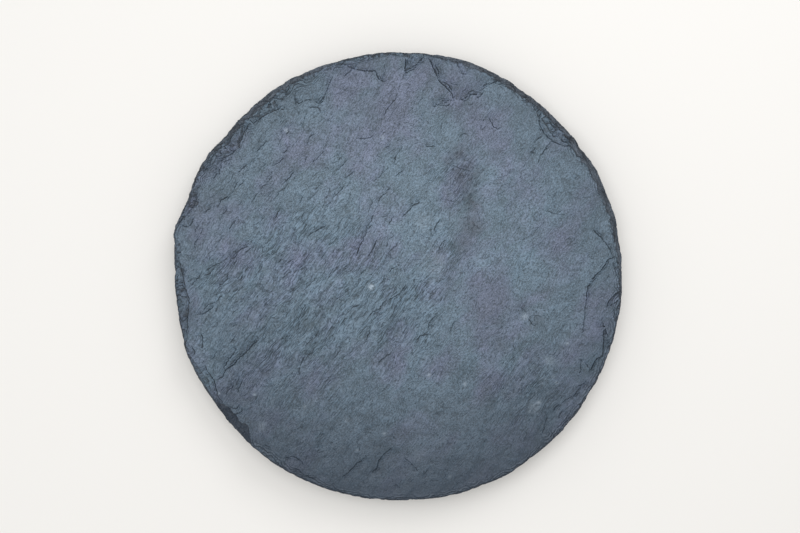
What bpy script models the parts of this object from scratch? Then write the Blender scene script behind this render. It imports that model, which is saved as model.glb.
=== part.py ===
"""A round stepping stone of slate, split from the rock and dressed by hand, lying riven face up.

One solid. Metres, +Z up. The origin is the middle of the stone's bounding box, on the ground
that it lies on. Bearings run anticlockwise from +X, seen from above.
"""

import math
import random

import bmesh
import bpy

# Driving dimensions, in metres
DIAMETER = 0.300
THICKNESS = 0.025
UNDERCUT = 0.0030  # how far the foot of the edge stands in from the rim
FOOT_ARRIS = 0.0015  # the worn corner round the underside
LEAST_DRESSING = 0.0012  # how far the dressed slope runs in where no flake came off
SEAT_RADIUS = 0.060  # inner ring of the flat underside
FACES_ROUND = 144

# The dressed slope falls this much for each metre that it runs in, from under a short lip.
SLOPE_FALL = 0.80
SLOPE_LIP = 0.0012

# Where the rim swells (+) or was struck back (-): bearing and reach in degrees, push in metres.
RIM_BULGES = (
    (17, 5, 0.0006),
    (29, 4, 0.0009),
    (35, 3, -0.0012),
    (55, 4, -0.0010),
    (70, 6, 0.0006),
    (102, 12, -0.0009),
    (125, 5, 0.0009),
    (138, 4, -0.0004),
    (150, 8, 0.0011),
    (169, 5, 0.0023),
    (191, 9, -0.0005),
    (214, 4, -0.0010),
    (246, 20, -0.0004),
    (286, 5, 0.0007),
    (299, 5, 0.0012),
    (317, 9, 0.0004),
)

# Flakes struck off the upper edge: bearing and half width in degrees, reach inwards in metres.
FLAKES = (
    (9, 6, 0.0036),
    (25, 13, 0.0034),
    (46, 8, 0.0090),
    (56, 4, 0.0038),
    (67, 9, 0.0026),
    (91, 17, 0.0036),
    (113, 8, 0.0062),
    (128, 9, 0.0120),
    (141, 6, 0.0125),
    (150, 4, 0.0050),
    (160, 7, 0.0078),
    (184, 14, 0.0090),
    (209, 9, 0.0070),
    (224, 6, 0.0066),
)

# Hammer blows on the flank below the rim leave shallow hollows all the way round.
BLOWS = 26
BLOW_HALF_WIDTHS = (4, 9)  # degrees
BLOW_DEPTHS = (0.0006, 0.0022)
BLOW_HEIGHT = 0.45  # as a share of the rim's height
BLOW_SEED = 5

# The riven face's low relief: crest spacing, bearing across the crests, phase in degrees, height.
FACE_WAVES = (
    (0.340, 262, 35, 0.00060),
    (0.150, 318, 80, 0.00035),
    (0.095, 20, 200, 0.00020),
    (0.062, 141, 10, 0.00012),
)

# Rings of the riven face, as shares of the way from its middle out to the dressed slope.
FACE_RINGS = (0.94, 0.85, 0.73, 0.59, 0.44, 0.28, 0.12)


def turn_between(bearing, other):
    """The angle from one bearing to another in degrees, the short way round, without sign."""
    return abs((bearing - other + 180) % 360 - 180)


def rim_radius(bearing):
    """A circle, pushed out or in by a bell curve at each bulge."""
    pushes = (
        push * math.exp(-((turn_between(bearing, centre) / reach) ** 2))
        for centre, reach, push in RIM_BULGES
    )
    return DIAMETER / 2 + sum(pushes)


def deepest_scar(bearing, scars, least):
    """The deepest of the scars at a bearing, each one half an ellipse, and never under least."""
    depths = [least]
    for centre, half_width, depth in scars:
        across = turn_between(bearing, centre) / half_width
        if across < 1:
            depths.append(depth * math.sqrt(1 - across**2))
    return max(depths)


def flank_blows():
    """Hollows spaced round the flank, each with its own width and depth."""
    chance = random.Random(BLOW_SEED)
    return [
        (
            (blow + chance.uniform(-0.3, 0.3)) * 360 / BLOWS,
            chance.uniform(*BLOW_HALF_WIDTHS),
            chance.uniform(*BLOW_DEPTHS),
        )
        for blow in range(BLOWS)
    ]


def face_height(x, y):
    """The nominal thickness plus a few long, shallow waves."""
    height = THICKNESS
    for spacing, heading, phase, rise in FACE_WAVES:
        along = x * math.cos(math.radians(heading)) + y * math.sin(math.radians(heading))
        height += rise * math.sin(math.tau * along / spacing + math.radians(phase))
    return height


def at(bearing, radius, height):
    turn = math.radians(bearing)
    return (radius * math.cos(turn), radius * math.sin(turn), height)


def on_face(bearing, radius):
    x, y, _ = at(bearing, radius, 0)
    return (x, y, face_height(x, y))


def section(bearing, blows):
    """The stone's profile at one bearing, from the underside's seat out and over to the face."""
    rim = rim_radius(bearing)
    dressing = deepest_scar(bearing, FLAKES, LEAST_DRESSING)
    hollow = deepest_scar(bearing, blows, 0)
    crest = on_face(bearing, rim - dressing)
    belly = crest[2] - SLOPE_LIP - SLOPE_FALL * dressing
    foot = rim - UNDERCUT
    return [
        at(bearing, SEAT_RADIUS, 0),
        at(bearing, foot - FOOT_ARRIS, 0),
        at(bearing, foot, FOOT_ARRIS),
        at(bearing, rim - UNDERCUT / 2 - hollow, BLOW_HEIGHT * belly),
        at(bearing, rim, belly),
        at(bearing, rim - 0.45 * dressing, (belly + crest[2]) / 2),
        crest,
        *(on_face(bearing, share * (rim - dressing)) for share in FACE_RINGS),
    ]


def place(verts, ring, blows):
    """Moves each vertex, at its own bearing, to the given ring of the section."""
    for vert in verts:
        bearing = math.degrees(math.atan2(vert.co.y, vert.co.x))
        vert.co = section(bearing, blows)[ring]


def fit_to_size(stone):
    """Stretches the stone slightly so that its box is the driving size, and centres it."""
    for axis, size in enumerate((DIAMETER, DIAMETER, THICKNESS)):
        places = [vert.co[axis] for vert in stone.verts]
        low, high = min(places), max(places)
        start = 0 if axis == 2 else -size / 2
        for vert in stone.verts:
            vert.co[axis] = start + (vert.co[axis] - low) * size / (high - low)


def stone_mesh():
    """A loop of edges at the seat, extruded ring by ring out, up and in over the face."""
    blows = flank_blows()
    stone = bmesh.new()
    bmesh.ops.create_circle(stone, cap_ends=True, radius=SEAT_RADIUS, segments=FACES_ROUND)
    place(stone.verts, 0, blows)
    edges = stone.edges[:]
    for ring in range(1, len(section(0, blows))):
        grown = bmesh.ops.extrude_edge_only(stone, edges=edges)["geom"]
        place([part for part in grown if isinstance(part, bmesh.types.BMVert)], ring, blows)
        edges = [
            part for part in grown if isinstance(part, bmesh.types.BMEdge) and part.is_boundary
        ]
    cap = bmesh.ops.contextual_create(stone, geom=edges)["faces"]
    middle = bmesh.ops.poke(stone, faces=cap)["verts"][0]
    middle.co = on_face(0, 0)
    fit_to_size(stone)
    bmesh.ops.recalc_face_normals(stone, faces=stone.faces[:])
    mesh = bpy.data.meshes.new("slate_slab")
    stone.to_mesh(mesh)
    stone.free()
    mesh.shade_smooth()
    mesh.set_sharp_from_angle(angle=math.radians(25))
    return mesh


def riven_slate():
    """Blue-grey slate with the dull sheen of a split face."""
    material = bpy.data.materials.new("riven_slate")
    material.use_nodes = True
    surface = material.node_tree.nodes["Principled BSDF"]
    surface.inputs["Base Color"].default_value = (0.130, 0.178, 0.225, 1.0)
    surface.inputs["Roughness"].default_value = 0.62
    surface.inputs["Metallic"].default_value = 0.0
    return material


for leftover in list(bpy.data.objects):
    bpy.data.objects.remove(leftover, do_unlink=True)

slab = bpy.data.objects.new("slate_slab", stone_mesh())
slab.data.materials.append(riven_slate())
bpy.context.scene.collection.objects.link(slab)
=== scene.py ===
"""A round stepping stone of slate, split from the rock and dressed by hand, lying riven face up.

Metres, +Z up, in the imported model's frame: the origin is on the ground, under the middle of
the stone. Bearings run anticlockwise from +X, seen from above. The stone is drawn in
millimetres, and its mesh is turned to metres at the end.
"""
import math

import bpy
import numpy as np
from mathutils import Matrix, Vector


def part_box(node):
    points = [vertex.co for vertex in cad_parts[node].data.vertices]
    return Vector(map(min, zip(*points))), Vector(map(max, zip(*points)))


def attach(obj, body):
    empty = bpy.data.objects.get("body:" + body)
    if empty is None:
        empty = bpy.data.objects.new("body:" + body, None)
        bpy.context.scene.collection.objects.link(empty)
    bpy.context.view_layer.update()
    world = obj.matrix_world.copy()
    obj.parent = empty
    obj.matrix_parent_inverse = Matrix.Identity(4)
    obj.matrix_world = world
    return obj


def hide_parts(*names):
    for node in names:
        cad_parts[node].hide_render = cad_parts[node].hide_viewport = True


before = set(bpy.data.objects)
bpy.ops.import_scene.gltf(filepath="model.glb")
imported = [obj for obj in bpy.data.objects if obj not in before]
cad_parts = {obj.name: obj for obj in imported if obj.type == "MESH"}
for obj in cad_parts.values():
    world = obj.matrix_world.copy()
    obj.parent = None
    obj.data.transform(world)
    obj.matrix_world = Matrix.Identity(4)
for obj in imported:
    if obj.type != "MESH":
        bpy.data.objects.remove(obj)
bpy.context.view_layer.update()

# ---------------------------------------------------------------------------------------------
# The slab. A lamina of blue-grey slate, split off along its cleavage, laid riven face up and
# dressed round with a hammer, which flaked scallops off the upper edge and left the broken ends
# of the laminae showing on the flank. Nothing is fixed to it.
# ---------------------------------------------------------------------------------------------

METRES = 0.001  # in a millimetre
RADIUS = 150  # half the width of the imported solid
BOX_GAP = 0.05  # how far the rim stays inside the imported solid's box
TOP_GAP = 0.02  # how far the face's highest point stays below its top
NICK = 0.4  # how deep the rim's small nicks are

FACE_CELLS = 240  # across the face, so each is about 1.2 mm wide
COLUMNS = 4 * FACE_CELLS  # of the flank, which meet the face's edge corner to corner
BED_SHARE = 3  # the underside's cells are this many times as wide
STATIONS = 144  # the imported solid's own facets round the rim

node_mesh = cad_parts["slate_slab"].data
corners = np.empty(3 * len(node_mesh.vertices), np.float32)
node_mesh.vertices.foreach_get("co", corners)
corners = corners.reshape(-1, 3) / METRES
face_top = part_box("slate_slab")[1].z / METRES


def smooth(low, high, value):
    """0 below low, 1 above high, and the cubic s*s*(3 - 2s) between them."""
    share = np.clip((value - low) / (high - low), 0, 1)
    return share * share * (3 - 2 * share)


def noise(u, v, seed):
    """Gradient noise, about -0.7 to 0.7, with cells one unit wide.

    Each whole-numbered corner has a slope in a random direction, and a point's value is its
    four corners' slopes times the way from them, blended by the quintic fade.
    """
    turns = np.random.default_rng(seed).uniform(0, math.tau, (256, 256))
    u, v = np.broadcast_arrays(u, v)
    i, j = np.floor(u).astype(int), np.floor(v).astype(int)
    a, b = u - i, v - j
    fade_a = a**3 * (a * (6 * a - 15) + 10)
    fade_b = b**3 * (b * (6 * b - 15) + 10)

    def corner(di, dj):
        turn = turns[(i + di) % 256, (j + dj) % 256]
        return np.cos(turn) * (a - di) + np.sin(turn) * (b - dj)

    near = corner(0, 0) + fade_a * (corner(1, 0) - corner(0, 0))
    far = corner(0, 1) + fade_a * (corner(1, 1) - corner(0, 1))
    return near + fade_b * (far - near)


def rough(u, v, seed, octaves):
    """Noise plus ever finer noise: each octave is half as wide and half as high."""
    return sum(noise(u * 2**k, v * 2**k, seed + 31 * k) / 2**k for k in range(octaves))


def round_noise(bearing, height, arc, seed, octaves):
    """Rough noise that closes on itself round the stone, with cells about arc mm long.

    It is read along a circle in the noise's plane, and a change of height shifts the circle.
    """
    turns = max(RADIUS / arc, 0.5)
    u = turns * np.cos(bearing) + 40 + height
    v = turns * np.sin(bearing) + 40 - 0.7 * height
    return rough(u, v, seed, octaves)


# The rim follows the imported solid: the farthest corner at each of its stations.
station = np.round(np.arctan2(corners[:, 1], corners[:, 0]) / math.tau * STATIONS).astype(int)
solid_rim = np.zeros(STATIONS)
np.maximum.at(solid_rim, station % STATIONS, np.hypot(corners[:, 0], corners[:, 1]))


def rim_reach(bearing):
    """The solid's rim, straight between its stations and kept inside its box, less small nicks."""
    where = bearing / math.tau * STATIONS
    plain = np.interp(where, np.arange(STATIONS), solid_rim, period=STATIONS)
    nicks = smooth(0, 0.6, round_noise(bearing, 0, 6, 11, 3))
    box_edge = (RADIUS - BOX_GAP) / np.maximum(abs(np.cos(bearing)), abs(np.sin(bearing)))
    return np.minimum(plain + NICK, box_edge) - NICK * nicks


# Flakes struck off the upper edge: bearing and half width in degrees, reach inwards in mm.
FLAKES = (
    (9, 6, 3.6),
    (25, 13, 3.4),
    (46, 8, 9.0),
    (56, 4, 3.8),
    (67, 9, 2.6),
    (91, 17, 3.6),
    (113, 8, 6.2),
    (128, 9, 12.0),
    (141, 6, 12.5),
    (150, 4, 5.0),
    (160, 7, 7.8),
    (184, 14, 9.0),
    (209, 9, 5.5),
    (222, 7, 9.0),
)
LEAST_DRESSING = 1.5  # how far in the dressed slope runs where no flake was struck off


def dressing(bearing):
    """How far in the dressed slope runs: the deepest flake here, each a half ellipse in plan.

    Noise along the rim makes it ragged, and it is never under 0.6 mm.
    """
    degrees = np.degrees(bearing)
    width = np.full_like(degrees, LEAST_DRESSING)
    for centre, half_width, reach in FLAKES:
        across = ((degrees - centre + 180) % 360 - 180) / half_width
        width = np.maximum(width, reach * np.sqrt(np.clip(1 - across**2, 0, 1)))
    ragged = 1 + 0.45 * round_noise(bearing, 3, 11, 17, 4)
    return np.maximum(width * ragged, 0.6)


# The face's low relief: crest spacing in mm, bearing across the crests, phase, height in mm.
FACE_WAVES = (
    (340, 262, 35, 0.60),
    (150, 318, 80, 0.35),
    (95, 20, 200, 0.20),
    (62, 141, 10, 0.12),
)
GRAIN = math.radians(52)  # the bearing of the slate's grain, along which it splits in strokes


def low_relief(x, y):
    """The sum of the long sine waves, each running along its own bearing."""
    total = np.zeros_like(x)
    for spacing, bearing, phase, rise in FACE_WAVES:
        along = x * math.cos(math.radians(bearing)) + y * math.sin(math.radians(bearing))
        total += rise * np.sin(math.tau * along / spacing + math.radians(phase))
    return total


def laminae(x, y, length, breadth, seed):
    """Rough noise in cells of length by breadth mm along the grain, bent by broader noise.

    Whoever calls it scales it so that each whole number is a new lamina.
    """
    along = x * math.cos(GRAIN) + y * math.sin(GRAIN) + 9 * noise(x / 40, y / 40, seed)
    across = y * math.cos(GRAIN) - x * math.sin(GRAIN) + 6 * noise(x / 31, y / 31, seed + 1)
    return rough(along / length, across / breadth, seed + 2, 4)


def terraces(field):
    """One step to a lamina: it rises evenly by 0.3, and by 0.7 in the last fifth of the way."""
    share = field % 1
    return np.floor(field) + 0.3 * share + 0.7 * smooth(0.78, 1, share)


# Ledges, where one lamina ends on the face: how far it drops, how far out the face takes to
# come back up, and the line's points, in mm. The low side is the one away from the middle.
LEDGES = (
    # scars under the upper left rim
    (0.45, 16, ((-43, 134), (-45, 130), (-47, 124), (-50, 117), (-52, 115), (-56, 117), (-60, 118),
        (-63, 116))),
    (0.35, 5, ((-60, 118), (-63, 116), (-66, 115), (-69, 118), (-68, 124))),
    (0.35, 4, ((-45, 129), (-48, 122), (-51, 117), (-54, 116), (-57, 118))),
    (0.3, 4, ((-61, 113), (-54, 113), (-52, 111), (-51, 108))),
    (0.8, 14, ((-76, 115), (-80, 111), (-88, 108), (-93, 104), (-99, 101), (-102, 97), (-104, 92),
        (-107, 86))),
    (0.7, 14, ((-107, 86), (-110, 82), (-116, 79), (-119, 73), (-119, 70), (-124, 64))),
    (0.3, 3, ((-110, 80), (-112, 76), (-113, 74))),
    (0.4, 8, ((-78, 119), (-75, 121), (-72, 126), (-71, 128), (-64, 131))),
    (0.4, 6, ((-124, 79), (-125, 74), (-128, 70), (-133, 68))),
    (0.4, 6, ((-134, 56), (-135, 48), (-141, 41), (-147, 34))),
    (0.4, 5, ((-71, 123), (-73, 121), (-76, 119), (-78, 117))),
    (0.4, 5, ((-74, 124), (-77, 119), (-81, 119), (-86, 120))),
    (0.3, 4, ((-93, 110), (-94, 107), (-95, 104))),
    (0.3, 3, ((-80, 115), (-81, 113), (-80, 111), (-76, 111), (-75, 114))),
    (0.3, 3, ((-68, 119), (-68, 115), (-65, 114), (-63, 115))),
    (0.6, 6, ((-107, 98), (-109, 97), (-110, 95), (-112, 92), (-114, 89), (-116, 87), (-118, 86))),
    (0.3, 4, ((-103, 97), (-105, 94), (-105, 91))),
    (0.5, 6, ((-95, 108), (-99, 106), (-102, 103), (-105, 101), (-106, 98))),
    (0.3, 4, ((-111, 78), (-114, 77), (-116, 76))),
    (0.3, 4, ((-124, 77), (-125, 73), (-127, 70), (-129, 68))),
    (0.3, 4, ((-117, 75), (-118, 72), (-119, 67))),
    (0.5, 6, ((-119, 85), (-122, 82), (-124, 79), (-129, 73))),
    (0.4, 5, ((-88, 116), (-93, 114), (-98, 109), (-101, 107))),
    # the notched ledges along the top
    (0.6, 14, ((-37, 132), (-32, 137), (-30, 138), (-21, 137), (-15, 137), (-14, 134), (-12, 131),
        (-9, 130), (-6, 132))),
    (0.4, 6, ((-40, 142), (-34, 141), (-28, 138))),
    (0.9, 9, ((5, 146), (5, 137), (10, 139), (14, 143), (18, 147))),
    (0.5, 4, ((4, 135), (9, 137), (14, 141), (19, 145))),
    (0.3, 3, ((6, 137), (12, 141), (16, 143), (19, 146))),
    (0.9, 12, ((37, 117), (37, 121), (33, 125), (31, 127), (28, 130), (25, 137), (22, 143), (19, 147))),
    (0.45, 4, ((37, 118), (28, 115), (23, 114))),
    (0.85, 12, ((40, 118), (43, 118), (47, 120), (50, 122), (53, 121), (57, 126), (63, 129), (72, 131))),
    (0.3, 3, ((44, 120), (50, 124), (53, 122), (57, 127), (63, 130))),
    (0.4, 6, ((39, 145), (40, 141), (44, 136), (46, 134))),
    # the upper right, beside the rim's long flakes
    (0.7, 12, ((74, 129), (78, 125), (80, 122), (84, 120), (88, 119), (90, 116), (92, 111), (94, 106),
        (96, 106))),
    (0.7, 10, ((96, 106), (99, 101), (102, 96), (105, 93), (110, 90), (116, 89))),
    (0.5, 10, ((120, 84), (122, 80), (126, 76), (128, 71), (130, 66), (133, 62), (135, 58), (137, 53),
        (143, 43))),
    (0.3, 4, ((91, 89), (97, 94))),
    (0.3, 4, ((88, 82), (92, 85))),
    (0.3, 4, ((103, 91), (95, 80), (93, 74))),
    (0.6, 5, ((88, 119), (91, 113), (94, 106), (95, 101), (98, 95), (103, 90), (108, 88), (114, 87),
        (120, 85))),
    (0.5, 4, ((95, 110), (97, 105), (100, 99), (104, 95), (108, 92))),
    (0.4, 4, ((94, 100), (96, 97), (98, 95), (100, 93), (103, 91), (104, 89))),
    (0.5, 4, ((101, 104), (103, 102), (105, 100), (106, 97))),
    (0.5, 4, ((105, 104), (107, 102), (109, 98), (112, 94), (115, 91))),
    (0.3, 3, ((89, 81), (90, 83), (92, 84))),
    (0.5, 5, ((23, 113), (27, 114), (30, 117), (35, 118))),
    (0.4, 4, ((27, 114), (31, 114), (34, 114), (35, 116))),
    (0.4, 4, ((30, 130), (33, 129), (35, 126), (37, 123))),
    (0.3, 3, ((34, 123), (36, 120), (38, 120), (37, 116))),
    (0.3, 3, ((35, 129), (38, 128), (40, 127))),
    (0.4, 4, ((25, 142), (27, 137), (28, 132))),
    (0.4, 4, ((41, 118), (44, 117), (47, 118), (49, 121), (50, 122))),
    (0.35, 3, ((52, 120), (54, 119), (57, 122), (58, 123))),
    (0.35, 3, ((55, 124), (58, 126), (61, 128), (64, 129), (67, 128), (71, 129), (73, 130))),
    (0.3, 4, ((40, 142), (41, 139), (43, 136), (45, 134))),
    (0.3, 3, ((68, 128), (70, 125))),
    (0.3, 4, ((41, 93), (44, 95), (47, 95))),
    (0.3, 3, ((143, 40), (144, 34), (145, 24), (147, 15))),
    # short ones on the upper face
    (0.3, 6, ((1, 121), (-4, 115), (-8, 110), (-9, 106))),
    (0.3, 5, ((-27, 92), (-22, 92), (-15, 94))),
    (0.3, 6, ((60, 107), (64, 100), (67, 98), (70, 100))),
    (0.3, 4, ((19, 86), (25, 87))),
    (0.3, 6, ((-95, 82), (-87, 91))),
    (0.3, 4, ((-8, 57), (-5, 59))),
    (0.9, 2, ((-74.5, 94.5), (-73.5, 96), (-72, 96.5))),
    (0.3, 4, ((-8, 86), (-5, 87))),
    # the left, where the rivings are closest
    (0.4, 6, ((-121, 45), (-117, 51), (-111, 54))),
    (0.3, 5, ((-117, 41), (-113, 45))),
    (0.3, 5, ((-130, 42), (-124, 46))),
    (0.3, 5, ((-136, 21), (-132, 26))),
    (0.4, 5, ((-144, 33), (-139, 33), (-135, 39))),
    (0.3, 5, ((-95, 34), (-89, 39))),
    (0.6, 8, ((-111, 11), (-108, 14), (-106, 17), (-103, 19), (-99, 20))),
    (0.3, 6, ((-79, 4), (-77, 6), (-74, 9), (-68, 12))),
    (0.5, 7, ((-134, -26), (-130, -25), (-126, -23), (-122, -20))),
    (0.3, 5, ((-130, -23), (-126, -19), (-122, -18), (-119, -15))),
    (0.4, 7, ((-121, -9), (-117, -6), (-113, 1), (-112, 4))),
    (0.4, 6, ((-129, 3), (-126, 5), (-122, 7), (-117, 9), (-113, 13))),
    (0.3, 4, ((-140, -4), (-137, -2))),
    (0.3, 4, ((-132, 25), (-135, 22), (-135, 18))),
    (0.3, 4, ((-105, -3), (-103, 1))),
    (0.3, 5, ((-110, -11), (-106, -8))),
    (0.3, 4, ((-124, -15), (-122, -12), (-119, -12))),
    (0.3, 4, ((-111, -26), (-108, -23), (-105, -21))),
    (0.3, 4, ((-91, 22), (-90, 19), (-90, 16))),
    (0.3, 4, ((-135, 29), (-134, 32), (-132, 34))),
    (0.3, 3, ((-131, 28), (-130, 32))),
    (0.6, 8, ((-20, -28), (-17, -24), (-12, -22), (-9, -17), (-3, -14), (1, -12), (5, -6), (9, -4))),
    (0.6, 7, ((-28, 12), (-26, 19), (-23, 24), (-20, 31), (-16, 35))),
    (0.4, 5, ((-61, 25), (-58, 28), (-53, 31), (-47, 34))),
    (0.3, 4, ((-83, 4), (-80, 8), (-77, 12))),
    (0.3, 4, ((-34, -25), (-30, -21), (-24, -18))),
    (0.3, 4, ((-77, 35), (-73, 36), (-69, 37))),
    (0.5, 6, ((2, 39), (6, 42), (10, 47), (16, 50))),
    (0.25, 3, ((34, 73), (39, 73), (44, 71), (50, 70))),
    (0.2, 3, ((42, 77), (47, 77), (51, 74))),
    (0.2, 3, ((27, 52), (33, 51), (39, 49))),
    (0.15, 4, ((53, 44), (54, 40), (55, 36))),
    (0.2, 4, ((98, 44), (104, 42), (113, 41))),
    # the lower left
    (0.7, 9, ((-122, -70), (-117, -67), (-114, -62), (-109, -59), (-105, -54), (-101, -51),
        (-98, -47), (-91, -41))),
    (0.5, 5, ((-117, -62), (-114, -58), (-109, -51), (-107, -47))),
    (0.4, 5, ((-124, -56), (-120, -50))),
    (0.3, 4, ((-110, -34), (-107, -32))),
    (0.4, 6, ((-132, -37), (-130, -40), (-130, -49))),
    (0.4, 5, ((-137, -46), (-135, -50), (-136, -53))),
    (0.4, 6, ((-114, -80), (-114, -77), (-109, -73))),
    (0.4, 5, ((-108, -73), (-105, -66))),
    (0.4, 5, ((-107, -78), (-103, -69))),
    (0.3, 6, ((-49, -71), (-43, -65))),
    (0.6, 12, ((-148, 17), (-146, 11), (-144, 3), (-142, -5), (-141, -10), (-139, -16), (-140, -30),
        (-141, -42))),
    (0.6, 12, ((-129, -58), (-127, -63), (-124, -67), (-122, -70), (-121, -76), (-120, -80),
        (-115, -86))),
    (0.3, 5, ((-89, -112), (-85, -114))),
    (0.5, 8, ((-76, -121), (-71, -120), (-68, -121), (-65, -123), (-62, -126))),
    (0.4, 6, ((-70, -128), (-66, -129), (-63, -132), (-58, -134), (-53, -135))),
    (0.3, 4, ((-116, -88), (-114, -90), (-111, -91), (-108, -92), (-104, -90), (-103, -87))),
    (0.3, 3, ((-113, -86), (-110, -88), (-107, -88), (-105, -85))),
    # cracks at the bottom
    (0.45, 8, ((-18, -132), (-14, -128), (-13, -124), (-11, -121), (-7, -117), (-2, -113))),
    (0.4, 8, ((-38, -135), (-36, -133), (-33, -131), (-28, -126), (-24, -123), (-20, -120))),
    (0.25, 6, ((4, -120), (7, -123), (12, -128), (14, -131))),
    (0.25, 6, ((16, -134), (19, -130), (22, -126))),
    (0.2, 5, ((-4, -142), (-1, -139), (2, -142))),
    # the right rim
    (0.5, 6, ((130, 32), (134, 27), (137, 24), (139, 22), (142, 18), (143, 14), (144, 12))),
    (0.7, 8, ((146, 14), (144, 12), (140, 11), (138, 7), (136, 4), (132, 1), (130, -2), (127, -7),
        (126, -15), (125, -20))),
    (0.3, 3, ((133, 0), (131, -3), (129, -5))),
    (0.3, 4, ((126, -14), (125, -22), (124, -32), (123, -41))),
    (0.4, 6, ((144, 10), (145, 5), (146, 1), (148, -3))),
    (0.6, 7, ((149, -9), (145, -12), (142, -15), (140, -18), (139, -22))),
    (0.3, 3, ((148, -15), (146, -17), (141, -20))),
    (0.4, 5, ((143, -21), (144, -24), (146, -28), (146, -31), (144, -36))),
    (0.8, 8, ((142, -42), (140, -39), (138, -34), (137, -40), (137, -46), (137, -53), (133, -55),
        (131, -58), (127, -65))),
    (0.4, 4, ((125, -57), (127, -61))),
    (0.4, 5, ((122, -55), (122, -63), (121, -65))),
    (0.5, 7, ((126, -69), (116, -81))),
    (0.3, 4, ((118, -75), (125, -71))),
    (0.4, 5, ((109, -85), (112, -82), (117, -80))),
    (0.4, 5, ((103, -90), (108, -85))),
    (0.4, 5, ((110, -89), (107, -95))),
    (0.3, 5, ((100, -93), (96, -106))),
    (0.15, 4, ((77, -45), (78, -50))),
    # the rim of an oval pit
    (0.35, 3, ((87, -28), (89, -31), (92, -34))),
    (0.2, 3, ((87, -27), (91, -26), (97, -27))),
    (0.2, 3, ((80, -20), (84, -22), (87, -26))),
)

# Pale specks, dark stains, violet clouds and other round patches: place and radius in mm, and
# how strong each is at its middle. The last three tables say where less painted shade falls,
# where the rivings lie closer, and one flat of the flank, facing away from the light, painted nearly
# black as shade.
SPECKS = (
    (-17.5, -7, 2.8, 1.2),
    (-119, -78, 1.8, 0.7),
    (-95, -79, 1.8, 0.8),
    (-62, -87, 1.6, 0.6),
    (-9, -105, 1.8, 0.7),
    (-90, -100, 4.5, 0.5),
    (-34, -96, 1.8, 0.6),
    (-27, -116, 1.6, 0.6),
    (14, -122, 1.8, 0.8),
    (12, -119, 9, 0.12),
    (35, -134, 1.8, 0.7),
    (91, -87, 6.0, 0.4),
    (94, -84, 2.4, 0.7),
    (88, -90, 2.0, 0.6),
    (113, -45, 1.8, 0.6),
    (106, -71, 1.6, 0.6),
    (104, -67, 1.4, 0.6),
    (101, -56, 5, 0.3),
    (97, -70, 5, 0.25),
    (-33, -130, 1.6, 0.5),
    (85, -27, 3.6, 0.35),
    (25, 8, 13, 0.14),
    (17, 36, 10, 0.14),
    (45, -72, 1.8, 0.7),
    (21, -66, 1.8, 0.6),
    (-74, 97, 3.0, 0.5),
    (-10, 93, 1.8, 0.6),
)
STAINS = (
    (46, 67, 15, 1.3),
    (40, 82, 10, 1.0),
    (33, 76, 7, 0.8),
    (43, 69, 6, 1.8),
    (49, 50, 13, 1.1),
    (50, 33, 14, 1.1),
    (44, 20, 12, 0.8),
    (67, -30, 9, 0.8),
    (69, -45, 9, 0.8),
    (84, -22, 9, 0.6),
    (95, -30, 8, 0.8),
    (62, -22, 32, 0.4),
    (-73, 95.5, 1.6, 1.6),
    (-77.5, 91.5, 1.2, 1.0),
    (-78, 121, 9, 0.8),
)
VIOLET = (
    (-5, 120, 60, 0.9),
    (45, 112, 45, 0.7),
    (28, -60, 18, 0.8),
    (65, -68, 18, 0.8),
    (63, -10, 24, 0.75),
    (112, 15, 24, 0.9),
    (-59, 85, 24, 0.9),
    (-112, 41, 22, 1.1),
    (-108, 18, 18, 0.8),
)
LESS_SHADE = ((-133, -50, 26, 1.0), (-127, -66, 22, 1.0), (-116, 0, 32, 1.0), (2, 124, 24, 0.9))
CLOSER = ((-52, -110, 44, 0.5), (-85, -82, 40, 0.55), (86, -74, 56, 0.85), (38, 64, 32, 0.9))
SHADED_FLAT = ((-112, -92, 19, 1.0), (-102, -103, 19, 1.0))

# How broad the dark broken edge is, seen from above, dark partly of its own and partly by painted shade:
# bearing in degrees, mm.
RIM_BAND = (
    (0, 2.4), (15, 4.4), (30, 5.4), (45, 3.6), (60, 4.2), (72, 3.6), (85, 0.8), (100, 0.8),
    (115, 3.6), (128, 5.6), (145, 3.0), (158, 2.0), (170, 1.0), (200, 0.8), (222, 1.8), (240, 0.8),
    (270, 0.5), (300, 0.8), (320, 1.8), (345, 0.8),
)
# How far in from the rim the face is split into thin steps: bearing in degrees, mm.
SHATTERED = (
    (0, 7), (15, 8), (30, 9), (45, 15), (58, 7), (70, 4), (85, 4), (100, 6), (112, 13), (125, 17),
    (140, 19), (152, 14), (162, 8), (172, 6), (190, 5), (205, 4), (218, 5), (232, 8), (245, 6),
    (260, 5), (280, 4), (300, 5), (320, 7), (335, 6), (350, 6),
)
NO_LEDGE = 4.0  # mm from any ledge's line: past this the material draws nothing
CUTS, CUTS_REACH = 150, 138  # how many short ledges are scattered, and how far out, in mm


def short_cuts(chance):
    """Some short ledges scattered along the grain, most of them left of the middle.

    Each has a random middle, a length of 4 to 18 mm, a bearing near the grain's and a slight
    bend, and is kept where the rivings lie close.
    """
    found = []
    while len(found) < CUTS:
        x, y = chance.uniform(-CUTS_REACH, CUTS_REACH, 2)
        wanted = max(smooth(1.3, 0.2, math.hypot((x + 60) / 100, (y - 14) / 92)), 0.005)
        keep = chance.uniform() < wanted and math.hypot(x, y) < CUTS_REACH
        turn = GRAIN + chance.normal(0, 0.22)
        half = chance.uniform(2, 5.5) * chance.uniform(1, 1.6)
        bend = chance.normal(0, 0.18) * half
        drop, run_out = chance.uniform(0.12, 0.38), chance.uniform(2, 5)
        ahead = np.array([math.cos(turn), math.sin(turn)])
        aside = np.array([-ahead[1], ahead[0]])
        middle = np.array([x, y])
        if keep:
            line = (middle - half * ahead, middle + bend * aside, middle + half * ahead)
            found.append((drop, run_out, line))
    return tuple(found)


all_ledges = LEDGES + short_cuts(np.random.default_rng(8))


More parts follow.
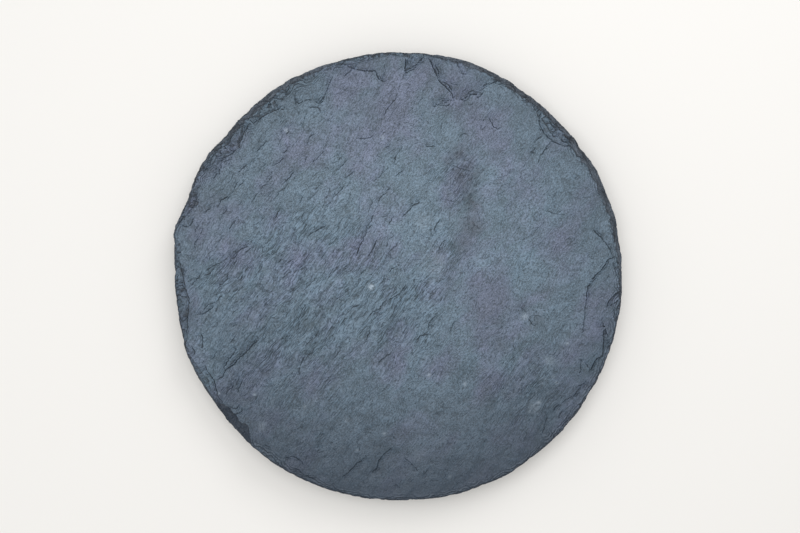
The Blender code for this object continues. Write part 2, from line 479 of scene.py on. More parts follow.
def from_line(points, x, y):
    """(distance from the line, positive on the side away from the middle; share of its length).

    Each point is dropped square onto each stretch, and the nearest foot is the one that counts.
    """
    points = np.array(points, float)
    starts, runs = points[:-1], np.diff(points, axis=0)
    lengths = np.hypot(runs[:, 0], runs[:, 1])
    offset_x = x[:, None] - starts[:, 0]
    offset_y = y[:, None] - starts[:, 1]
    share = np.clip((offset_x * runs[:, 0] + offset_y * runs[:, 1]) / lengths**2, 0, 1)
    away = np.hypot(offset_x - share * runs[:, 0], offset_y - share * runs[:, 1])
    turn = runs[:, 0] * offset_y - runs[:, 1] * offset_x
    nearest = away.argmin(1)
    row = np.arange(len(x))
    so_far = (np.cumsum(lengths) - lengths)[nearest]
    along = (so_far + share[row, nearest] * lengths[nearest]) / lengths.sum()
    chord, middle = points[-1] - points[0], points.mean(0)
    outward_is_left = 1 if chord[0] * middle[1] - chord[1] * middle[0] > 0 else -1
    side = np.where(turn[row, nearest] > 0, 1, -1) * outward_is_left
    return side * away[row, nearest], along


def ledge_distances(x, y):
    """For each ledge in turn: its distance from each point, its drop there and its run-out.

    The points are first shaken by up to about half a millimetre, so that no line runs
    straight, and a drop tapers to nothing at the line's ends.
    """
    shake_x = 0.6 * rough(x / 5, y / 5, 41, 3)
    shake_y = 0.6 * rough(x / 5, y / 5, 42, 3)
    x, y = x + shake_x, y + shake_y
    for drop, run_out, points in all_ledges:
        low, high = np.min(points, 0) - run_out - 2, np.max(points, 0) + run_out + 2
        near = (x > low[0]) & (x < high[0]) & (y > low[1]) & (y < high[1])
        distance, strength = np.full_like(x, 99.0), np.zeros_like(x)
        distance[near], along = from_line(points, x[near], y[near])
        strength[near] = drop * smooth(0, 0.16, along) * smooth(1, 0.84, along)
        yield distance, strength, run_out


def ledge_relief(x, y):
    """The ledges' height: each drop is full at its line and fades over the run-out."""
    height = np.zeros_like(x)
    for distance, strength, run_out in ledge_distances(x, y):
        height -= 0.65 * strength * smooth(-0.5, 0.5, distance) * (1 - smooth(0.5, run_out, distance))
    return height


def nearest_ledge(x, y, cells):
    """(gap, force) at each cell's corners: the distance from the cell's nearest ledge, its drop."""
    gap = np.full(cells.shape, NO_LEDGE)
    force = np.zeros(cells.shape)
    for distance, strength, _ in ledge_distances(x, y):
        in_cell = distance[cells]
        closer = abs(in_cell).min(1) < abs(gap).min(1)
        gap[closer] = np.clip(in_cell[closer], -NO_LEDGE, NO_LEDGE)
        force[closer] = strength[cells][closer]
    return gap, force


def patches(x, y, places):
    """The strongest of some round patches here, each fading from its middle to its radius."""
    strength = np.zeros_like(x)
    for centre_x, centre_y, radius, share in places:
        away = np.hypot(x - centre_x, y - centre_y)
        strength = np.maximum(strength, share * smooth(1, 0, away / radius))
    return strength


def painted_shade(x, y):
    """How much painted shade falls here, where the light falls off: towards the bottom of the face, and
    towards the rim.
    """
    uneven = 22 * noise(x / 70, y / 70, 91)
    lower_down = smooth(15, -165, y + uneven)
    farther_out = smooth(55, 165, np.hypot(x, y) + 0.5 * uneven)
    shade_kept = 1 - 0.8 * patches(x, y, LESS_SHADE)
    return shade_kept * (0.56 * lower_down + 0.32 * farther_out)


def disc_grid(cells):
    """(x, y) of a square grid bent into the unit disc: each square ring becomes a circle."""
    side = np.linspace(-1, 1, cells + 1)
    a, b = np.meshgrid(side, side, indexing="ij")
    wide = abs(a) >= abs(b)
    reach = np.where(wide, a, b)
    turn = math.pi / 4 * np.where(wide, b, a) / np.where(reach == 0, 1, reach)
    ahead, aside = reach * np.cos(turn), reach * np.sin(turn)
    return np.where(wide, ahead, aside), np.where(wide, aside, ahead)


def grid_cells(cells):
    """The corner numbers of each cell of a square grid, anticlockwise."""
    i, j = np.meshgrid(np.arange(cells), np.arange(cells), indexing="ij")
    first = (i * (cells + 1) + j).ravel()
    return np.stack([first, first + cells + 1, first + cells + 2, first + 1], 1)


def grid_edge(cells):
    """The corner numbers along a square grid's edge, anticlockwise from bearing -45 degrees."""
    step = np.arange(cells)
    width = cells + 1
    right = cells * width + step
    top = (cells - step) * width + cells
    left = cells - step
    bottom = step * width
    return np.concatenate([right, top, left, bottom])


def between_columns(bearing, at_columns):
    """A value given at each column of the flank, read straight between them at a bearing."""
    where = (bearing / math.tau + 1 / 8) * COLUMNS
    return np.interp(where, np.arange(COLUMNS), at_columns, period=COLUMNS)


def round_rim(bearing, table):
    """A table's value at a bearing, straight between its rows and closed round the stone."""
    table = np.array(table, float)
    return np.interp(np.degrees(bearing), table[:, 0], table[:, 1], period=360)


# The face: the disc grid carried out to the crest, where the dressing starts. Its cells are
# even in the middle, and take up the crest's own shape towards the edge.
EVEN_REACH = 144

column_bearing = math.tau * (np.arange(COLUMNS) / COLUMNS - 1 / 8)
rim = rim_reach(column_bearing)
slope_width = dressing(column_bearing)
crest_reach = rim - slope_width

disc_x, disc_y = disc_grid(FACE_CELLS)
reach = np.hypot(disc_x, disc_y).ravel()
bearing = np.arctan2(disc_y, disc_x).ravel()
crest_here = between_columns(bearing, crest_reach)
rim_here = between_columns(bearing, rim)
out = reach * (EVEN_REACH + (crest_here - EVEN_REACH) * reach**5)
face_x, face_y = out * np.cos(bearing), out * np.sin(bearing)
face_reach = np.hypot(face_x, face_y)
face_cells = grid_cells(FACE_CELLS)
face_edge = grid_edge(FACE_CELLS)

# How close the rivings lie, 0 to 1: closest left of the middle, and in a few other places.
from_middle = np.hypot((face_x + 56) / 112, (face_y + 14) / 71)
from_middle += 0.5 * noise(face_x / 50, face_y / 50, 90)
closeness = 0.12 + 0.88 * smooth(1.2, 0.3, from_middle)
closeness = np.maximum(closeness, patches(face_x, face_y, CLOSER))

# Its height in mm: long waves, ledges, broad and fine laminae, and a little roughness.
broad = 3.5 * laminae(face_x, face_y, 75, 26, 3)
fine = 2.4 * laminae(face_x, face_y, 24, 8, 60)
ledge_height = ledge_relief(face_x, face_y)
relief = low_relief(face_x, face_y) + ledge_height
relief += 0.20 * terraces(broad)
relief += 0.14 * closeness * terraces(fine)
relief += 0.10 * rough(face_x / 9, face_y / 9, 77, 3)
face_z = relief - relief.max() + face_top - TOP_GAP

# The flank: rows down from the crest. Each lamina has an upper and a lower row, which stand
# nearly one over the other, and the next lamina starts a little further out or in.
LAMINAE = 15
SLOPE_FALL, SLOPE_LIP = 0.80, 1.0  # the dressed slope falls 0.8 mm a millimetre, below a lip
UNDERCUT = 3.0  # the foot stands in from the belly by this
FOOT = 0.5  # the height that the laminae are counted down to
FOOT_IN = 1.2  # how much further the foot is worn back, below 3 mm
BLOWS, SMALL_BLOWS = 34, 90
BELLY_RADIUS = 148  # turns the width of a blow into an angle

chance = np.random.default_rng(5)
crest_z = face_z[face_edge]
belly_z = crest_z - SLOPE_LIP - SLOPE_FALL * slope_width
layer_tops = 1 - np.cumsum(chance.uniform(0.45, 1.6, LAMINAE))
layer_tops = np.concatenate([[1], 1 - (1 - layer_tops) / (1 - layer_tops[-1])])


def blow_scars(bearing, height):
    """How deep the hammer's scars go: each is a dished oval, and the deepest one counts."""
    depth = np.zeros_like(height)
    for size, count in ((1, BLOWS), (0.42, SMALL_BLOWS)):
        for centre in chance.uniform(0, math.tau, count):
            half_width = size * chance.uniform(6, 20)
            half_height = size * chance.uniform(9, 17)
            middle = chance.uniform(2, 20)
            turn = (bearing - centre + math.pi) % math.tau - math.pi
            across = turn * BELLY_RADIUS / half_width
            up = (height - middle) / half_height
            scar = size**0.7 * chance.uniform(1.0, 2.6) * (1 - across**2 - up**2)
            depth = np.maximum(depth, scar)
    return depth


# The dressed slope from crest to rim, as shares of its width and fall: gentle, then steep.
share_out = np.linspace(0, 1, 50)
share_down = 0.5 * share_out + 0.5 * share_out**3


def flank_reach(height):
    """The flank's profile at a height: the dressed slope above the belly, the undercut below."""
    down = 1 - np.clip((height - belly_z) / (SLOPE_FALL * slope_width), 0, 1)
    slope = 1 - np.interp(down, share_down, share_out)
    under = np.clip(1 - height / belly_z, 0, 1)
    return rim - slope_width * slope - UNDERCUT * under**1.4


row_z, row_reach = [], []
for layer in range(LAMINAE):
    upper, lower = layer_tops[layer], layer_tops[layer + 1]
    thickness = upper - lower
    heights = []  # just inside the lamina's top and bottom, which wave a little
    for share in (upper - 0.06 * thickness, lower + 0.10 * thickness):
        wave = 0.9 * round_noise(column_bearing, 2.3, 70, 23, 3) * 4 * share * (1 - share)
        heights.append(FOOT + share * (crest_z - FOOT) + wave)
    middle = (heights[0] + heights[1]) / 2
    jitter = round_noise(column_bearing, 5.1 * layer, 16, 29, 5)
    jitter += 0.45 * smooth(0.0, 0.25, round_noise(column_bearing, 3.3 * layer, 30, 37, 2))
    # A lamina's end stands upright where this is 1, and follows the slope where it is 0.
    upright = smooth(-0.4, 0.3, round_noise(column_bearing, 1.7 * layer, 40, 43, 2))
    upright = np.maximum(0.35 + 0.60 * upright, 0.9 * smooth(-0.5, 1.5, middle - belly_z))
    for height in heights:
        sloped = flank_reach(height)
        row_reach.append(sloped + upright * (flank_reach(middle) - sloped) - jitter)
        row_z.append(height)
row_z, row_reach = np.array(row_z), np.array(row_reach)
rows = len(row_z)
all_bearings = np.broadcast_to(column_bearing, row_z.shape)
row_reach -= blow_scars(all_bearings, row_z) * (0.25 + 0.75 * smooth(0, 3, belly_z - row_z))
row_reach += rim - row_reach.max(0)
row_reach -= FOOT_IN * smooth(3.0, 0, row_z)
flank_x = row_reach * np.cos(all_bearings)
flank_y = row_reach * np.sin(all_bearings)

# The underside: a coarser disc grid inside the flank's foot, riven too, resting on its pads.
BED_CELLS = FACE_CELLS // BED_SHARE
BED_EVEN_REACH = 140
BED_IN = 1.4  # how far its edge stands in from the flank's foot

bed_x, bed_y = disc_grid(BED_CELLS)
bed_reach = np.hypot(bed_x, bed_y).ravel()
bed_bearing = np.arctan2(bed_y, bed_x).ravel()
foot_here = between_columns(bed_bearing, row_reach[-1] - BED_IN)
out = bed_reach * (BED_EVEN_REACH + (foot_here - BED_EVEN_REACH) * bed_reach**4)
bed_x, bed_y = out * np.cos(bed_bearing), out * np.sin(bed_bearing)
bed_relief = 0.28 * terraces(4 * laminae(bed_x, bed_y, 70, 24, 130))
bed_relief += 0.15 * rough(bed_x / 14, bed_y / 14, 140, 3)
bed_z = np.maximum(bed_relief - np.quantile(bed_relief, 0.25), 0) * 0.5
bed_z *= smooth(1.0, 0.9, bed_reach) * 0.7 + 0.3

# One closed mesh: the face, the flank and the underside, with a ring of cells between the last
# two that takes three columns of the flank to one cell of the underside.
points = np.concatenate([
    np.stack([face_x, face_y, face_z], 1),
    np.stack([flank_x.ravel(), flank_y.ravel(), row_z.ravel()], 1),
    np.stack([bed_x, bed_y, bed_z], 1),
])
first_flank = len(face_x)
first_bed = first_flank + rows * COLUMNS

flank_ring = first_flank + np.arange(rows * COLUMNS).reshape(rows, COLUMNS)
ring = np.concatenate([face_edge[None], flank_ring])
beside = np.roll(ring, -1, 1)
flank_cells = np.stack([ring[:-1], ring[1:], beside[1:], beside[:-1]], -1).reshape(-1, 4)
bed_cells = first_bed + grid_cells(BED_CELLS)[:, ::-1]
foot_ring = ring[-1].reshape(-1, BED_SHARE)
next_foot = np.roll(ring[-1], -BED_SHARE)[::BED_SHARE]
bed_ring = first_bed + grid_edge(BED_CELLS)
next_bed = np.roll(bed_ring, -1)
seat_cells = np.concatenate([
    np.stack([foot_ring[:, 0], bed_ring, foot_ring[:, 1]], 1),
    np.stack([foot_ring[:, 1], bed_ring, foot_ring[:, 2]], 1),
    np.stack([foot_ring[:, 2], bed_ring, next_bed], 1),
    np.stack([foot_ring[:, 2], next_bed, next_foot], 1),
])
quads = np.concatenate([face_cells, flank_cells, bed_cells])

slab_mesh = bpy.data.meshes.new("slate_slab_riven")
slab_mesh.from_pydata((points * METRES).tolist(), [], quads.tolist() + seat_cells.tolist())
slab = bpy.data.objects.new("slate_slab_riven", slab_mesh)
bpy.context.scene.collection.objects.link(slab)
slab_mesh.polygons.foreach_set("use_smooth", np.ones(len(slab_mesh.polygons), bool))
slab_mesh.set_sharp_from_angle(angle=math.radians(38))  # keeps the laminae's ends crisp
slab_mesh.update()

# What the material has to know of the shape, as attributes. The ledges come cell by cell, so
# that a line doesn't smear where the nearest ledge changes.
ledge_cells = quads[: len(face_cells) + len(flank_cells)]
gap, force = nearest_ledge(points[:first_bed, 0], points[:first_bed, 1], ledge_cells)
on_slope = np.concatenate([np.ones(first_flank), smooth(0, 1, row_z - belly_z).ravel()])
for name, on_ledge_cells, elsewhere in (
    ("gap", gap, NO_LEDGE),
    ("force", force * on_slope[ledge_cells], 0),
):
    values = np.full(len(slab_mesh.loops), elsewhere, np.float32)
    values[: gap.size] = on_ledge_cells.ravel()
    slab_mesh.attributes.new(name, "FLOAT", "CORNER").data.foreach_set("value", values)

# Thin steps towards the rim, each whole number a lamina: counted outwards on the face by its
# distance from the crest, then down the flank by height.
face_layers = (face_reach - crest_here) / 1.8 + 1.6 * round_noise(bearing, 0, 16, 57, 4)
face_layers += 1.9 * rough(face_x / 11, face_y / 11, 58, 4)
below_crest = crest_z - row_z
flank_layers = below_crest / 1.3 + 1.6 * round_noise(all_bearings, -0.02 * below_crest, 16, 57, 4)
flank_layers += 1.9 * rough(flank_x / 11, flank_y / 11, 58, 4)
split_in = round_rim(bearing, SHATTERED)
from_rim = rim_here - face_reach
wavering_from_rim = from_rim + 2.5 * noise(face_x / 14, face_y / 14, 59)

# How far past the dark edge's inner line, in mm: along the top to the rim, then down the flank.
face_past = round_rim(bearing, RIM_BAND) - from_rim
down_flank = np.where(row_z > belly_z, row_reach - rim, np.maximum(belly_z - row_z, 0) + 0.5)
flank_past = round_rim(all_bearings, RIM_BAND) + down_flank

# The flank takes the face's painted shade above its belly, and painted shade makes one flat, which faces
# away from the light, nearly black.
shaded_flat = 0.97 * smooth(0.3, 0.5, patches(flank_x, flank_y, SHADED_FLAT))
flank_shade = np.maximum(painted_shade(flank_x, flank_y), shaded_flat) * smooth(-4, 0, row_z - belly_z)

for name, on_face, on_flank, on_bed in (
    ("broad", broad, 0.5, 0.5),
    ("fine", fine, 0.5, 0.5),
    ("closeness", closeness, 0.4, 0.3),
    ("layers", face_layers, flank_layers, 0.35),
    ("shattered", smooth(split_in, 0.35 * split_in, wavering_from_rim), 1, 0),
    ("past_edge", face_past, flank_past, -9.0),
    ("scar", np.clip(-ledge_height / 0.5, 0, 1), 0.35, 0),
    ("shade", painted_shade(face_x, face_y), flank_shade, 0),
    ("pale", patches(face_x, face_y, SPECKS), 0, 0),
    ("violet", patches(face_x, face_y, VIOLET), 0, 0),
    ("stain", patches(face_x, face_y, STAINS), 0, 0),
):
    values = np.concatenate([
        np.broadcast_to(on_face, face_x.shape),
        np.broadcast_to(on_flank, row_z.shape).ravel(),
        np.broadcast_to(on_bed, bed_z.shape),
    ])
    layer = slab_mesh.attributes.new(name, "FLOAT", "POINT")
    layer.data.foreach_set("value", values.astype(np.float32))

# The bake's own map: the face as a large disc, the flank as two strips above it, and the
# underside as a small disc in the corner.
FACE_DISC = (0.365, 0.365, 0.355)  # middle and radius
BED_DISC = (0.865, 0.13, 0.12)
DISC_REACH = 151  # the mm that a disc's radius stands for
STRIP_FOOTS, STRIP_HEIGHT, STRIP_START, STRIP_LENGTH = (0.745, 0.875), 0.11, 0.01, 0.98


def on_disc(cells, disc):
    """The plan of some cells' corners, shrunk so that DISC_REACH is the disc's radius."""
    x, y = points[cells, 0].ravel(), points[cells, 1].ravel()
    return np.stack([disc[0] + disc[2] * x / DISC_REACH, disc[1] + disc[2] * y / DISC_REACH], 1)


cell_row, cell_column = np.meshgrid(np.arange(rows), np.arange(COLUMNS), indexing="ij")
corner_column = np.stack([cell_column, cell_column, cell_column + 1, cell_column + 1], -1)
corner_row = np.stack([cell_row, cell_row + 1, cell_row + 1, cell_row], -1)
in_second_strip = (cell_column >= COLUMNS // 2)[..., None]
along = corner_column - in_second_strip * (COLUMNS // 2)
strip_foot = np.where(in_second_strip, STRIP_FOOTS[1], STRIP_FOOTS[0])
strip_u = STRIP_START + STRIP_LENGTH * along / (COLUMNS // 2)
strip_v = strip_foot + STRIP_HEIGHT * (1 - corner_row / rows)
all_uv = np.concatenate([
    on_disc(face_cells, FACE_DISC),
    np.stack([strip_u.ravel(), strip_v.ravel()], 1),
    on_disc(bed_cells, BED_DISC),
    on_disc(seat_cells, BED_DISC),
])
bake_map = slab_mesh.uv_layers.new(name="OFBake")
bake_map.data.foreach_set("uv", all_uv.astype(np.float32).ravel())


def linear(colour):
    """An sRGB hex colour as linear red, green, blue and alpha."""
    parts = np.array([int(colour[k : k + 2], 16) for k in (1, 3, 5)]) / 255
    parts = np.where(parts > 0.04045, ((parts + 0.055) / 1.055) ** 2.4, parts / 12.92)
    return (*parts, 1)


# Riven slate: split, not sawn, so it is matt with a faint sheen on the flats. Strokes along
# the grain catch the light, painted shade darkens the feet of the ledges and the stone towards the
# bottom and the rim, and its blue-grey drifts to violet and to green.
# Where it is dressed, the broken laminae are darker, partly their own colour and partly painted shade,
# and streaked level.
slate = bpy.data.materials.new("riven_slate")
slate.use_nodes = True
tree = slate.node_tree
tree.nodes.clear()


def add_node(kind, inputs=(), out=0, **settings):
    """Adds a node with its settings, fills its inputs in turn or by name, and gives one output.

    A kind in capitals is a Math node's operation.
    """
    if kind.isupper():
        kind, settings["operation"] = "Math", kind
    made = tree.nodes.new("ShaderNode" + kind)
    for name, setting in settings.items():
        setattr(made, name, setting)
    for name, value in inputs.items() if isinstance(inputs, dict) else enumerate(inputs):
        if isinstance(value, bpy.types.NodeSocket):
            tree.links.new(value, made.inputs[name])
        else:
            made.inputs[name].default_value = value
    return made.outputs[out] if made.outputs else None


# Places on the stone: as they are, bent by up to 4 mm in cells of 22 mm so that no pattern runs
# straight, and the bent ones turned to the grain.
place = add_node("TexCoord", out="Object")
wander = add_node("TexNoise", {"Vector": place, "Scale": 45, "Detail": 2}, "Color")
wander = add_node("VectorMath", (wander, (0.5, 0.5, 0.5)), operation="SUBTRACT")
wander = add_node("VectorMath", {0: wander, "Scale": 8 * METRES}, operation="SCALE")
bent = add_node("VectorMath", (place, wander), operation="ADD")
turned = add_node("Mapping", {"Vector": bent, "Rotation": (0, 0, -GRAIN)})

# Cloudy noises, each 0 to 1, with cells as large as the marks on riven slate: in mm along,
# across and up the grain. Threads and grit are finer on the stone, and are drawn as coarse as
# they need to be to show.
noises = {}
for name, space, cell, detail, roughness in (
    ("strokes", turned, (12, 1.8, 6), 3, 0.6),
    ("flakes", turned, (14, 3.2, 7), 3, 0.5),
    ("bands", turned, (26, 7, 15), 2, 0.5),
    ("threads", turned, (6.0, 0.72, 2), 2, 0.62),
    ("hatches", turned, (20, 10, 14), 2, 0.5),
    ("grit", turned, (1.2, 0.7, 1.0), 1, 0.5),
    ("pits", turned, (2.0, 1.4, 2.0), 2, 0.5),
    ("drift", turned, (34, 22, 34), 3, 0.5),
    ("mottle", bent, (8, 6, 8), 4, 0.6),
    ("clouds", bent, (26, 20, 26), 3, 0.5),
    ("ragged", bent, (6, 3, 6), 3, 0.6),
    ("levels", place, (26, 26, 0.9), 3, 0.6),
    ("ravel", place, (1.7, 1.7, 1.7), 2, 0.6),
):
    cells = add_node("Mapping", {"Vector": space, "Scale": [1 / (METRES * mm) for mm in cell]})
    inputs = {"Vector": cells, "Scale": 1, "Detail": detail, "Roughness": roughness}
    noises[name] = add_node("TexNoise", inputs, "Fac")
grit, mottle, ragged = noises["grit"], noises["mottle"], noises["ragged"]

# Some of the same noises as lifts and falls, -0.5 to 0.5.
swings = {}
for name in ("strokes", "bands", "threads", "grit", "mottle", "clouds", "ragged", "ravel"):
    swings[name] = add_node("SUBTRACT", (noises[name], 0.5))

# What the mesh's attributes say here.
shape = {}
for name in (
    "gap", "force", "broad", "fine", "closeness", "layers", "shattered", "past_edge", "scar", "shade",
    "pale", "violet", "stain",
):
    shape[name] = add_node("Attribute", out="Fac", attribute_name=name)
close, force_here, stain = shape["closeness"], shape["force"], shape["stain"]

# Strokes and threads along the grain, stronger where the rivings lie close and in packets.
packets = add_node("MapRange", (mottle, 0.38, 0.62, 0.5, 1.5))
packets = add_node("MULTIPLY", (close, packets))
strength = add_node("MULTIPLY_ADD", (packets, 1.1, 0.05))
stroke_lift = add_node("MULTIPLY", (swings["strokes"], strength))
band_lift = add_node("MULTIPLY", (swings["bands"], close))
stroke_lift = add_node("MULTIPLY_ADD", (band_lift, 0.8, stroke_lift))
hatching = add_node("MapRange", (noises["hatches"], 0.47, 0.62, 0.25, 1.7))
hatching = add_node("MULTIPLY", (close, hatching))
strength = add_node("MULTIPLY_ADD", (hatching, 2.1, 0.12))
thread_lift = add_node("MULTIPLY", (swings["threads"], strength))

# Small laminae between the strokes: nearly flat, with a crisp step up to each next one.
flake_level = add_node("MULTIPLY", (noises["flakes"], 5.5))
flake_share = add_node("FRACT", (flake_level,))
flake_floor = add_node("SUBTRACT", (flake_level, flake_share))
flake_rise = add_node("MapRange", (flake_share, 0.78, 1.0))
flake_step = add_node("ADD", (flake_floor, flake_rise))
flake_step = add_node("SUBTRACT", (flake_step, 2.7))
flake_step = add_node("MULTIPLY", (flake_step, packets))

# How light the stone is: 0.5, lifted or lowered by each part times its weight.
close_swing = add_node("SUBTRACT", (close, 0.5))
grit_weight = add_node("MULTIPLY_ADD", (close, -0.7, 2.2))
mottle_weight = add_node("MULTIPLY_ADD", (shape["shade"], 0.9, 0.85))
tone = 0.5
for part, weight in (
    (stroke_lift, 1.0),
    (thread_lift, 1.5),
    (swings["grit"], grit_weight),
    (close_swing, 0.12),
    (swings["mottle"], mottle_weight),
    (swings["clouds"], 0.85),
):
    tone = add_node("MULTIPLY_ADD", (part, weight, tone))

# How far its blue-grey has drifted from green, at 0, to violet, at 1.
warmth = add_node("MULTIPLY_ADD", (swings["mottle"], 0.2, noises["drift"]))
warmth = add_node("MULTIPLY_ADD", (shape["violet"], 0.25, warmth))
warmth = add_node("MapRange", (warmth, 0.47, 0.73))

# How far from the nearest ledge's line, in mm: over 0 on its low side. The ledge's foot is a
# line of painted shade there, with a weaker second one beyond it and a painted highlight on the high
# side.
gap_here = add_node("MULTIPLY_ADD", (swings["ravel"], 2.0, shape["gap"]))
gap_here = add_node("MULTIPLY_ADD", (swings["mottle"], 1.2, gap_here))
off = {}
for line, at_mm in (("foot", 0.1), ("second", 1.5), ("lit", -0.8)):
    off[line] = add_node("SUBTRACT", (gap_here, at_mm))
    off[line] = add_node("ABSOLUTE", (off[line],))
half_breadth = add_node("MULTIPLY", (force_here, ragged))
half_breadth = add_node("MULTIPLY_ADD", (half_breadth, 0.58, 0.12))
past_foot = add_node("SUBTRACT", (off["foot"], half_breadth))
foot_dark = add_node("MapRange", (past_foot, -0.1, 0.22, 1, 0))
foot_whole = add_node("MapRange", (ragged, 0.36, 0.52, 0.2, 1.0))
foot_whole = add_node("MAXIMUM", (foot_whole, force_here))
second_dark = add_node("MapRange", (off["second"], 0.1, 0.45, 0.8, 0))
lit_edge = add_node("MapRange", (off["lit"], 0.1, 0.5, 1, 0))
lit_edge = add_node("MULTIPLY", (lit_edge, force_here))
for share in (add_node("MapRange", (force_here, 0.02, 0.3)), foot_whole):
    foot_dark = add_node("MULTIPLY", (foot_dark, share))
for share in (add_node("MapRange", (force_here, 0.2, 0.5)), add_node("MapRange", (ragged, 0.46, 0.56))):
    second_dark = add_node("MULTIPLY", (second_dark, share))
crevice_shade = add_node("MAXIMUM", (foot_dark, second_dark))

# The laminae's ends carry painted shade too: each field's whole numbers are laminae, and the
# line of painted shade lies where the part past the whole number is near an end's own.
broken = add_node("MapRange", (mottle, 0.34, 0.48, 0.4, 1.0))
broken = add_node("MULTIPLY", (shape["shattered"], broken))
layer_share = add_node("FRACT", (shape["layers"],))
for share, end, breadth, fade, ragged_from, ragged_to, least, where, weight in (
    (add_node("FRACT", (shape["fine"],)), 0.9, 0.01, 0.07, 0.42, 0.62, 0, close, 0.8),
    (add_node("FRACT", (shape["broad"],)), 0.9, 0.01, 0.05, 0.45, 0.65, 0, 1, 0.7),
    (layer_share, 0.85, 0.11, 0.22, 0.36, 0.50, 0.35, broken, 1),
    (flake_share, 0.78, 0.03, 0.10, 0.38, 0.56, 0, packets, 0.6),
):
    off_end = add_node("SUBTRACT", (share, end))
    off_end = add_node("ABSOLUTE", (off_end,))
    end_dark = add_node("MapRange", (off_end, breadth, fade, 1, 0))
    whole = add_node("MapRange", (ragged, ragged_from, ragged_to, least, 1))
    whole = add_node("MULTIPLY", (whole, where))
    end_dark = add_node("MULTIPLY", (end_dark, whole), use_clamp=True)
    end_dark = add_node("MULTIPLY", (end_dark, weight))
    crevice_shade = add_node("MAXIMUM", (crevice_shade, end_dark))
layer_step = add_node("MapRange", (layer_share, 0.68, 0.85))
layer_step = add_node("SUBTRACT", (layer_share, layer_step))
layer_step = add_node("MULTIPLY", (layer_step, broken))

# Where scars laid a lower lamina bare, and where stains, pits and pale specks lie.
scarred = add_node("MapRange", (mottle, 0.3, 0.5, 0.5, 1.0))
scarred = add_node("MULTIPLY", (shape["scar"], scarred))
stained = add_node("MULTIPLY_ADD", (swings["grit"], 0.6, mottle))
stained = add_node("MapRange", (stained, 0.44, 0.56))
stained = add_node("MULTIPLY", (stain, stained))
pit_share = add_node("MapRange", (noises["clouds"], 0.42, 0.6))
pit_share = add_node("ADD", (pit_share, stain))
pitted = add_node("MapRange", (noises["pits"], 0.60, 0.68))
pitted = add_node("MULTIPLY", (pitted, pit_share), use_clamp=True)
speckled = add_node("MULTIPLY_ADD", (swings["ravel"], 0.5, mottle))
speckled = add_node("MapRange", (speckled, 0.34, 0.52))
speckled = add_node("MULTIPLY", (shape["pale"], speckled), use_clamp=True)

# The dressed edge: streaked level, with a line of painted shade where it starts, which wavers by a few
# mm.
past = add_node("MULTIPLY_ADD", (swings["ragged"], 5, shape["past_edge"]))
past = add_node("MULTIPLY_ADD", (swings["ravel"], 3, past))
dressed = add_node("MapRange", (past, -0.5, 0.7))
off_start = add_node("SUBTRACT", (past, 0.2))
off_start = add_node("ABSOLUTE", (off_start,))
start_shade = add_node("MapRange", (off_start, 0.2, 0.6, 1, 0))
start_whole = add_node("MapRange", (mottle, 0.38, 0.52, 0.15, 0.75))
start_shade = add_node("MULTIPLY", (start_shade, start_whole))
streaks = add_node("MULTIPLY_ADD", (swings["ragged"], 0.4, noises["levels"]))
streaks = add_node("MapRange", (streaks, 0.40, 0.60))

# The colours. The body lightens with the tone, its tint goes from green to violet, and the
# dressed edge is nearly black with grey streaks, partly its own colour and partly painted shade.
# Then each coat goes over the last, by its share times its strength, and some coats are painted
# shade or a painted highlight. In a colour Mix, input 0 is the share, 6 and 7 are the colours, and
# output 2 is the result.
body, tint, streaked = (
    add_node("Mix", {0: share, 6: linear(first), 7: linear(second)}, 2, data_type="RGBA")
    for share, first, second in (
        (add_node("MapRange", (tone, 0.0, 1.0)), "#37444b", "#6f7e8c"),
        (warmth, "#f4ffff", "#fff2ff"),
        (streaks, "#14171a", "#4a525a"),
    )
)
for share, strength, colour, blend in (
    (1.0, 1.0, tint, "MULTIPLY"),
    (scarred, 1.0, linear("#e6eaee"), "MULTIPLY"),
    (stain, 1.0, linear("#eeefef"), "MULTIPLY"),
    (stained, 0.55, linear("#262b2f"), "MIX"),
    (pitted, 0.5, linear("#22272d"), "MIX"),
    (speckled, 0.95, linear("#b4c0c8"), "MIX"),
    # Painted shade at the feet of the ledges and the ends of the laminae.
    (crevice_shade, 0.85, linear("#181e23"), "MIX"),
    # A painted highlight on the high side of each ledge.
    (lit_edge, 0.2, linear("#7d8c9a"), "MIX"),
    # The dressed edge: its own streaked colour, darkened in part as painted shade.
    (dressed, 0.9, streaked, "MIX"),
    # Painted shade along the line where the dressing starts.
    (start_shade, 1.0, linear("#13171b"), "MIX"),
    # Painted shade: darker towards the bottom and the rim, and nearly black on one flat that faces away
    # from the light.
    (shape["shade"], 1.0, linear("#10202e"), "MIX"),
):
    share = add_node("MULTIPLY", (share, strength), use_clamp=True)
    body = add_node("Mix", {0: share, 6: body, 7: colour}, 2, data_type="RGBA", blend_type=blend)

# Heights in mm for the bump, each part times its weight.
ledge_drop = add_node("MapRange", (gap_here, -0.25, 0.25))
ledge_drop = add_node("MULTIPLY", (ledge_drop, force_here))
level_cut = add_node("MULTIPLY", (noises["levels"], dressed))
rise = 0.0
for part, weight in (
    (stroke_lift, 0.5),
    (thread_lift, 0.28),
    (flake_step, 0.22),
    (layer_step, 0.4),
    (grit, 0.2),
    (mottle, 0.45),
    (crevice_shade, -0.3),
    (pitted, -0.15),
    (ledge_drop, -0.75),
    (level_cut, 0.6),
):
    rise = add_node("MULTIPLY_ADD", (part, weight, rise))
bump = add_node("Bump", {"Height": rise, "Strength": 1.0, "Distance": METRES})
roughness = add_node("MapRange", (tone, 0.2, 0.8, 0.46, 0.38))
inputs = {"Base Color": body, "Roughness": roughness, "IOR": 1.5, "Normal": bump}
add_node("OutputMaterial", {"Surface": add_node("BsdfPrincipled", inputs)})
slab_mesh.materials.append(slate)

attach(slab, "root")
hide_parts("slate_slab")

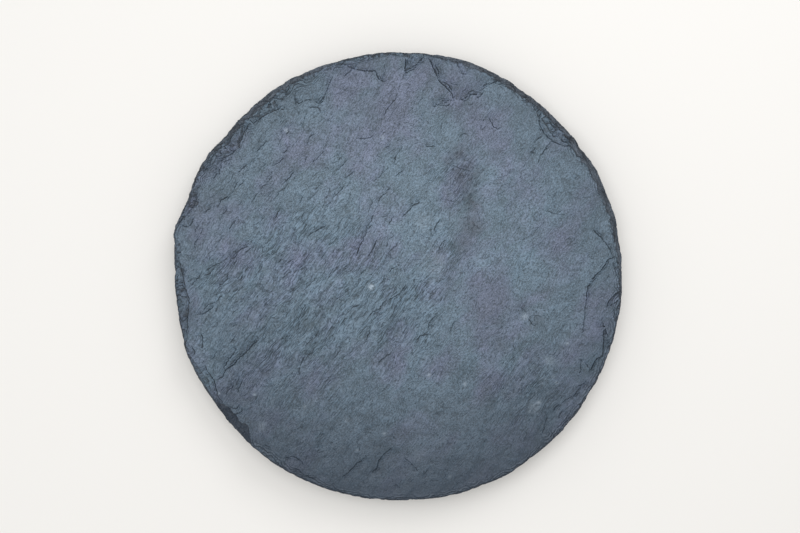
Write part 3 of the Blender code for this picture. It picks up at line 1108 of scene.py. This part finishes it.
# ---------------------------------------------------------------------------------------------
# The floor. A round sheet of matt pale paper, larger than any view of the stone. The stone only
# lies on it, and it is no part of the stone.
# ---------------------------------------------------------------------------------------------

FLOOR_REACH, FLOOR_CORNERS = 12.0, 96  # in metres

paper = bpy.data.materials.new("matt_pale_paper")
paper.use_nodes = True
paper_inputs = paper.node_tree.nodes["Principled BSDF"].inputs
paper_inputs["Base Color"].default_value = linear("#e4dfd6")
paper_inputs["Roughness"].default_value = 0.9

turn = math.tau * np.arange(FLOOR_CORNERS) / FLOOR_CORNERS
floor_rim = np.stack([np.cos(turn), np.sin(turn), np.zeros(FLOOR_CORNERS)], 1) * FLOOR_REACH
floor_mesh = bpy.data.meshes.new("floor")
floor_mesh.from_pydata(floor_rim.tolist(), [], [range(FLOOR_CORNERS)])
floor_mesh.materials.append(paper)
floor = bpy.data.objects.new("floor", floor_mesh)
bpy.context.scene.collection.objects.link(floor)

# ---------------------------------------------------------------------------------------------
# Light and camera. Soft daylight from two panels, the larger one high and nearly overhead, and
# from a pale room. The camera looks straight down.
# ---------------------------------------------------------------------------------------------

DAYLIGHT = linear("#f3f7ff")
CAMERA_ABOVE = 0.7395  # metres over the face
CAMERA_ASIDE = (0.0016, 0.0065)  # from the stone's middle

room = bpy.data.worlds.new("pale_room")
room.use_nodes = True
room_inputs = room.node_tree.nodes["Background"].inputs
room_inputs["Color"].default_value = linear("#ebeef3")
room_inputs["Strength"].default_value = 0.85
bpy.context.scene.world = room

for name, width, depth, watts, at in (
    ("panel", 1.2, 1.0, 9.5, (-0.16, 0.16, 1.35)),
    ("side_panel", 0.6, 0.6, 3.8, (0.45, 0.80, 0.85)),
):
    light = bpy.data.lights.new(name, "AREA")
    light.shape = "RECTANGLE"
    light.size, light.size_y = width, depth
    light.energy = watts
    light.color = DAYLIGHT[:3]
    panel = bpy.data.objects.new(name, light)
    panel.location = at
    panel.rotation_euler = (-Vector(at)).to_track_quat("-Z", "Y").to_euler()
    bpy.context.scene.collection.objects.link(panel)

camera_data = bpy.data.cameras.new("camera")
camera_data.lens = 50
camera_data.sensor_width = 36
camera = bpy.data.objects.new("camera", camera_data)
camera.location = (*CAMERA_ASIDE, CAMERA_ABOVE + face_top * METRES)
bpy.context.scene.collection.objects.link(camera)
bpy.context.scene.camera = camera
bpy.context.scene.view_settings.view_transform = "Standard"

bpy.context.view_layer.update()
